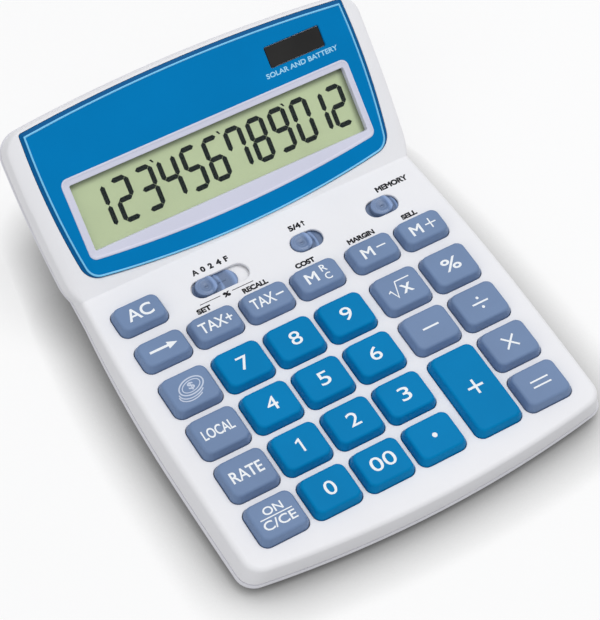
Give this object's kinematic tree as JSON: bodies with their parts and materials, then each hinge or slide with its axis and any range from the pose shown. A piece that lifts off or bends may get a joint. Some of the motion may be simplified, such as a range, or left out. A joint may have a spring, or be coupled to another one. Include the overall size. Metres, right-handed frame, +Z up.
{
  "type": "desktop calculator",
  "caption": "Wide desktop calculator with a raised, tilted display, a bowed white case, moulded keys and small slide switches.",
  "frame": {"origin": "middle of the footprint, on the surface that the feet stand on", "axes": "+X to the right of someone using the keys, +Y away from them, +Z up"},
  "size_m": [0.1412, 0.1758, 0.0607],
  "materials": {
    "case_white": "fine satin moulded plastic",
    "base_white": "fine satin moulded plastic",
    "fascia_blue": "satin-gloss moulded panel",
    "key_blue": "satin moulded key",
    "key_grey": "satin moulded key",
    "frame_grey": "smooth bezel",
    "clear_window": "clear moulded window",
    "lcd_green": "liquid-crystal glass",
    "solar_dark": "dark solar cell under glass",
    "strip_pink": "elastomer contact strip",
    "sheet_grey": "silicone sheet",
    "foot_black": "matt rubber",
    "board_green": "solder-masked laminate",
    "resin_black": "cured resin",
    "cable_grey": "flat film cable",
    "screw_steel": "zinc-plated steel",
    "spring_steel": "nickel-plated spring strip",
    "cell_steel": "steel can"
  },
  "bodies": {
    "housing": {"battery_contact_negative": "spring_steel", "battery_contact_positive": "spring_steel", "battery_door": "base_white", "button_cell": "cell_steel", "controller_chip": "resin_black", "display_board": "board_green", "display_fascia": "fascia_blue", "display_frame": "frame_grey", "display_window": "clear_window", "foot_front_left": "foot_black", "foot_front_right": "foot_black", "foot_rear_left": "foot_black", "foot_rear_right": "foot_black", "lcd_panel": "lcd_green", "lower_case": "base_white", "main_board": "board_green", "ribbon_cable": "cable_grey", "rubber_keypad": "sheet_grey", "screw_battery_door": "screw_steel", "screw_front_left": "screw_steel", "screw_front_right": "screw_steel", "screw_rear_left": "screw_steel", "screw_rear_right": "screw_steel", "solar_cell": "solar_dark", "upper_case": "case_white", "zebra_strip": "strip_pink"},
    "decimal_slider": {"decimal_slider": "key_grey"},
    "rounding_slider": {"rounding_slider": "key_grey"},
    "memory_slider": {"memory_slider": "key_grey"},
    "key_0": {"key_0": "key_blue"},
    "key_00": {"key_00": "key_blue"},
    "key_1": {"key_1": "key_blue"},
    "key_2": {"key_2": "key_blue"},
    "key_3": {"key_3": "key_blue"},
    "key_4": {"key_4": "key_blue"},
    "key_5": {"key_5": "key_blue"},
    "key_6": {"key_6": "key_blue"},
    "key_7": {"key_7": "key_blue"},
    "key_8": {"key_8": "key_blue"},
    "key_9": {"key_9": "key_blue"},
    "key_all_clear": {"key_all_clear": "key_grey"},
    "key_backspace": {"key_backspace": "key_grey"},
    "key_currency": {"key_currency": "key_grey"},
    "key_divide": {"key_divide": "key_grey"},
    "key_equals": {"key_equals": "key_grey"},
    "key_local": {"key_local": "key_grey"},
    "key_memory_minus": {"key_memory_minus": "key_grey"},
    "key_memory_plus": {"key_memory_plus": "key_grey"},
    "key_memory_recall": {"key_memory_recall": "key_grey"},
    "key_minus": {"key_minus": "key_grey"},
    "key_multiply": {"key_multiply": "key_grey"},
    "key_on_clear": {"key_on_clear": "key_grey"},
    "key_percent": {"key_percent": "key_grey"},
    "key_plus": {"key_plus": "key_blue"},
    "key_point": {"key_point": "key_blue"},
    "key_rate": {"key_rate": "key_grey"},
    "key_root": {"key_root": "key_grey"},
    "key_tax_minus": {"key_tax_minus": "key_grey"},
    "key_tax_plus": {"key_tax_plus": "key_grey"}
  },
  "joints": [
    {"name": "decimal_slide", "type": "slide", "parent": "housing", "child": "decimal_slider", "axis": [1, 0, 0], "range_m": [0, 0.012]},
    {"name": "rounding_slide", "type": "slide", "parent": "housing", "child": "rounding_slider", "axis": [1, 0, 0], "range_m": [0, 0.003]},
    {"name": "memory_slide", "type": "slide", "parent": "housing", "child": "memory_slider", "axis": [1, 0, 0], "range_m": [-0.0015, 0.0015]},
    {"name": "0_press", "type": "slide", "parent": "housing", "child": "key_0", "axis": [0, 0.0523, -0.9986], "range_m": [0, 0.0018], "stiffness_N_per_m": 300, "deforming": ["rubber_keypad"]},
    {"name": "00_press", "type": "slide", "parent": "housing", "child": "key_00", "axis": [0, 0.0523, -0.9986], "range_m": [0, 0.0018], "stiffness_N_per_m": 300, "deforming": ["rubber_keypad"]},
    {"name": "1_press", "type": "slide", "parent": "housing", "child": "key_1", "axis": [0, 0.0523, -0.9986], "range_m": [0, 0.0018], "stiffness_N_per_m": 300, "deforming": ["rubber_keypad"]},
    {"name": "2_press", "type": "slide", "parent": "housing", "child": "key_2", "axis": [0, 0.0523, -0.9986], "range_m": [0, 0.0018], "stiffness_N_per_m": 300, "deforming": ["rubber_keypad"]},
    {"name": "3_press", "type": "slide", "parent": "housing", "child": "key_3", "axis": [0, 0.0523, -0.9986], "range_m": [0, 0.0018], "stiffness_N_per_m": 300, "deforming": ["rubber_keypad"]},
    {"name": "4_press", "type": "slide", "parent": "housing", "child": "key_4", "axis": [0, 0.0523, -0.9986], "range_m": [0, 0.0018], "stiffness_N_per_m": 300, "deforming": ["rubber_keypad"]},
    {"name": "5_press", "type": "slide", "parent": "housing", "child": "key_5", "axis": [0, 0.0523, -0.9986], "range_m": [0, 0.0018], "stiffness_N_per_m": 300, "deforming": ["rubber_keypad"]},
    {"name": "6_press", "type": "slide", "parent": "housing", "child": "key_6", "axis": [0, 0.0523, -0.9986], "range_m": [0, 0.0018], "stiffness_N_per_m": 300, "deforming": ["rubber_keypad"]},
    {"name": "7_press", "type": "slide", "parent": "housing", "child": "key_7", "axis": [0, 0.0523, -0.9986], "range_m": [0, 0.0018], "stiffness_N_per_m": 300, "deforming": ["rubber_keypad"]},
    {"name": "8_press", "type": "slide", "parent": "housing", "child": "key_8", "axis": [0, 0.0523, -0.9986], "range_m": [0, 0.0018], "stiffness_N_per_m": 300, "deforming": ["rubber_keypad"]},
    {"name": "9_press", "type": "slide", "parent": "housing", "child": "key_9", "axis": [0, 0.0523, -0.9986], "range_m": [0, 0.0018], "stiffness_N_per_m": 300, "deforming": ["rubber_keypad"]},
    {"name": "all_clear_press", "type": "slide", "parent": "housing", "child": "key_all_clear", "axis": [0, 0.0523, -0.9986], "range_m": [0, 0.0018], "stiffness_N_per_m": 300, "deforming": ["rubber_keypad"]},
    {"name": "backspace_press", "type": "slide", "parent": "housing", "child": "key_backspace", "axis": [0, 0.0523, -0.9986], "range_m": [0, 0.0018], "stiffness_N_per_m": 300, "deforming": ["rubber_keypad"]},
    {"name": "currency_press", "type": "slide", "parent": "housing", "child": "key_currency", "axis": [0, 0.0523, -0.9986], "range_m": [0, 0.0018], "stiffness_N_per_m": 300, "deforming": ["rubber_keypad"]},
    {"name": "divide_press", "type": "slide", "parent": "housing", "child": "key_divide", "axis": [0, 0.0523, -0.9986], "range_m": [0, 0.0018], "stiffness_N_per_m": 300, "deforming": ["rubber_keypad"]},
    {"name": "equals_press", "type": "slide", "parent": "housing", "child": "key_equals", "axis": [0, 0.0523, -0.9986], "range_m": [0, 0.0018], "stiffness_N_per_m": 300, "deforming": ["rubber_keypad"]},
    {"name": "local_press", "type": "slide", "parent": "housing", "child": "key_local", "axis": [0, 0.0523, -0.9986], "range_m": [0, 0.0018], "stiffness_N_per_m": 300, "deforming": ["rubber_keypad"]},
    {"name": "memory_minus_press", "type": "slide", "parent": "housing", "child": "key_memory_minus", "axis": [0, 0.0523, -0.9986], "range_m": [0, 0.0018], "stiffness_N_per_m": 300, "deforming": ["rubber_keypad"]},
    {"name": "memory_plus_press", "type": "slide", "parent": "housing", "child": "key_memory_plus", "axis": [0, 0.0523, -0.9986], "range_m": [0, 0.0018], "stiffness_N_per_m": 300, "deforming": ["rubber_keypad"]},
    {"name": "memory_recall_press", "type": "slide", "parent": "housing", "child": "key_memory_recall", "axis": [0, 0.0523, -0.9986], "range_m": [0, 0.0018], "stiffness_N_per_m": 300, "deforming": ["rubber_keypad"]},
    {"name": "minus_press", "type": "slide", "parent": "housing", "child": "key_minus", "axis": [0, 0.0523, -0.9986], "range_m": [0, 0.0018], "stiffness_N_per_m": 300, "deforming": ["rubber_keypad"]},
    {"name": "multiply_press", "type": "slide", "parent": "housing", "child": "key_multiply", "axis": [0, 0.0523, -0.9986], "range_m": [0, 0.0018], "stiffness_N_per_m": 300, "deforming": ["rubber_keypad"]},
    {"name": "on_clear_press", "type": "slide", "parent": "housing", "child": "key_on_clear", "axis": [0, 0.0523, -0.9986], "range_m": [0, 0.0018], "stiffness_N_per_m": 300, "deforming": ["rubber_keypad"]},
    {"name": "percent_press", "type": "slide", "parent": "housing", "child": "key_percent", "axis": [0, 0.0523, -0.9986], "range_m": [0, 0.0018], "stiffness_N_per_m": 300, "deforming": ["rubber_keypad"]},
    {"name": "plus_press", "type": "slide", "parent": "housing", "child": "key_plus", "axis": [0, 0.0523, -0.9986], "range_m": [0, 0.0018], "stiffness_N_per_m": 300, "deforming": ["rubber_keypad"]},
    {"name": "point_press", "type": "slide", "parent": "housing", "child": "key_point", "axis": [0, 0.0523, -0.9986], "range_m": [0, 0.0018], "stiffness_N_per_m": 300, "deforming": ["rubber_keypad"]},
    {"name": "rate_press", "type": "slide", "parent": "housing", "child": "key_rate", "axis": [0, 0.0523, -0.9986], "range_m": [0, 0.0018], "stiffness_N_per_m": 300, "deforming": ["rubber_keypad"]},
    {"name": "root_press", "type": "slide", "parent": "housing", "child": "key_root", "axis": [0, 0.0523, -0.9986], "range_m": [0, 0.0018], "stiffness_N_per_m": 300, "deforming": ["rubber_keypad"]},
    {"name": "tax_minus_press", "type": "slide", "parent": "housing", "child": "key_tax_minus", "axis": [0, 0.0523, -0.9986], "range_m": [0, 0.0018], "stiffness_N_per_m": 300, "deforming": ["rubber_keypad"]},
    {"name": "tax_plus_press", "type": "slide", "parent": "housing", "child": "key_tax_plus", "axis": [0, 0.0523, -0.9986], "range_m": [0, 0.0018], "stiffness_N_per_m": 300, "deforming": ["rubber_keypad"]}
  ]
}
